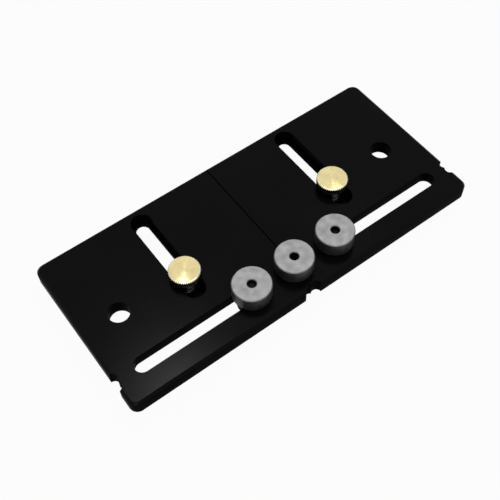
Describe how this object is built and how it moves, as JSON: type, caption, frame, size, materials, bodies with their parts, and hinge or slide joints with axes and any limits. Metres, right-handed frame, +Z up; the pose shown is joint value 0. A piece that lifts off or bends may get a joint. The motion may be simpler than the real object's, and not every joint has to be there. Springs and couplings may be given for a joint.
{
  "type": "cabinet hardware drilling jig",
  "caption": "Flat slotted drilling jig for cabinet handles and knobs, with sliding drill bushings in a row, sight notches, and an edge fence clamped by thumb knobs.",
  "frame": {"origin": "middle of the plate in plan, at the level of the fence bar's lower face", "axes": "+X along the plate and the row of bushings, +Y from the bushings towards the back edge, +Z up"},
  "size_m": [0.2286, 0.1016, 0.032],
  "materials": {
    "black_anodised_aluminium": "satin black anodised",
    "ground_steel": "turned and ground",
    "turned_brass": "turned, pale, straight knurled edge",
    "plated_steel": "plain plated"
  },
  "bodies": {
    "plate": {"jig_plate": "black_anodised_aluminium", "drill_bushing_centre": "ground_steel"},
    "foot_left": {"bushing_foot_left": "ground_steel"},
    "foot_right": {"bushing_foot_right": "ground_steel"},
    "head_left": {"drill_bushing_left": "ground_steel"},
    "head_right": {"drill_bushing_right": "ground_steel"},
    "fence": {"fence_bar": "black_anodised_aluminium", "fence_insert_left": "plated_steel", "fence_insert_right": "plated_steel", "knob_washer_left": "plated_steel", "knob_washer_right": "plated_steel"},
    "knob_left": {"thumb_knob_left": "turned_brass", "knob_stud_left": "plated_steel"},
    "knob_right": {"thumb_knob_right": "turned_brass", "knob_stud_right": "plated_steel"}
  },
  "joints": [
    {"name": "left_bushing_slide", "type": "slide", "parent": "plate", "child": "foot_left", "axis": [-1, 0, 0], "range_m": [-0.0061, 0.0692]},
    {"name": "right_bushing_slide", "type": "slide", "parent": "plate", "child": "foot_right", "axis": [1, 0, 0], "range_m": [-0.0061, 0.0692]},
    {"name": "left_bushing_turn", "type": "hinge", "parent": "foot_left", "child": "head_left", "pos_m": [-0.0283, -0.0332, 0.0274], "axis": [0, 0, 1], "continuous": true},
    {"name": "right_bushing_turn", "type": "hinge", "parent": "foot_right", "child": "head_right", "pos_m": [0.0283, -0.0332, 0.0274], "axis": [0, 0, 1], "continuous": true},
    {"name": "fence_slide", "type": "slide", "parent": "plate", "child": "fence", "axis": [0, 1, 0], "range_m": [-0.0092, 0.0444]},
    {"name": "left_knob_turn", "type": "hinge", "parent": "fence", "child": "knob_left", "pos_m": [-0.051, -0.0035, 0.0273], "axis": [0, 0, 1], "continuous": true},
    {"name": "right_knob_turn", "type": "hinge", "parent": "fence", "child": "knob_right", "pos_m": [0.051, -0.0035, 0.0273], "axis": [0, 0, 1], "continuous": true}
  ]
}
